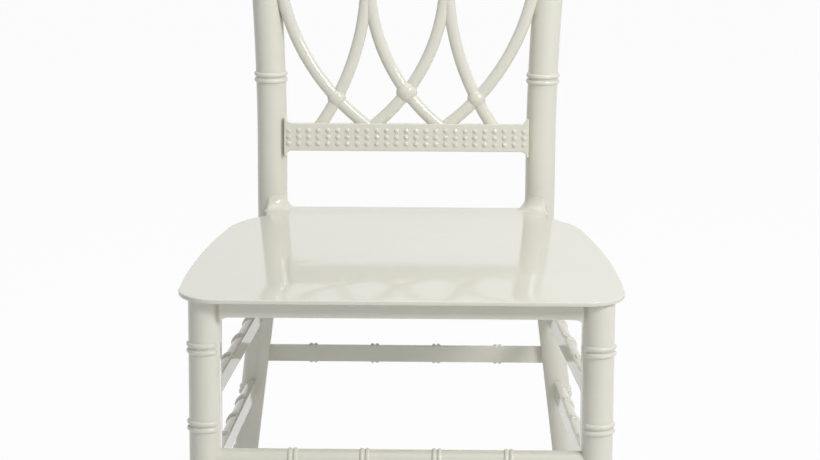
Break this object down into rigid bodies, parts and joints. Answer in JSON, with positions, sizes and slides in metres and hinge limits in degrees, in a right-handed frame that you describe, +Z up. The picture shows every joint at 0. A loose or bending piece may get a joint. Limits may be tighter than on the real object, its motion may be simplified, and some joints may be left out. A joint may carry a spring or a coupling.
{
  "type": "chiavari chair",
  "caption": "Moulded resin chiavari chair with interlaced loop back, bamboo-ring legs and posts, and thin waisted seat.",
  "frame": {"origin": "on the floor under the middle of the chair's bounding box", "axes": "+X to the right of a viewer facing the seat, +Y to the rear, +Z up"},
  "size_m": [0.43, 0.4689, 0.914],
  "materials": {
    "ivory_resin": "gloss",
    "glide_plastic": "matt",
    "zinc_steel": "satin",
    "brass_insert": "satin"
  },
  "bodies": {
    "root": {"seat": "ivory_resin", "front_leg_left": "ivory_resin", "front_leg_right": "ivory_resin", "back_post_left": "ivory_resin", "back_post_right": "ivory_resin", "lower_rail": "ivory_resin", "top_rail": "ivory_resin", "back_lattice": "ivory_resin", "front_stretcher_upper": "ivory_resin", "front_stretcher_lower": "ivory_resin", "rear_stretcher": "ivory_resin", "side_stretcher_left_upper": "ivory_resin", "side_stretcher_left_lower": "ivory_resin", "side_stretcher_right_upper": "ivory_resin", "side_stretcher_right_lower": "ivory_resin", "seat_bolts": "zinc_steel", "bolt_washers": "zinc_steel", "seat_inserts": "brass_insert", "leg_screws": "zinc_steel", "front_glides": "glide_plastic", "rear_glides": "glide_plastic"}
  },
  "joints": []
}
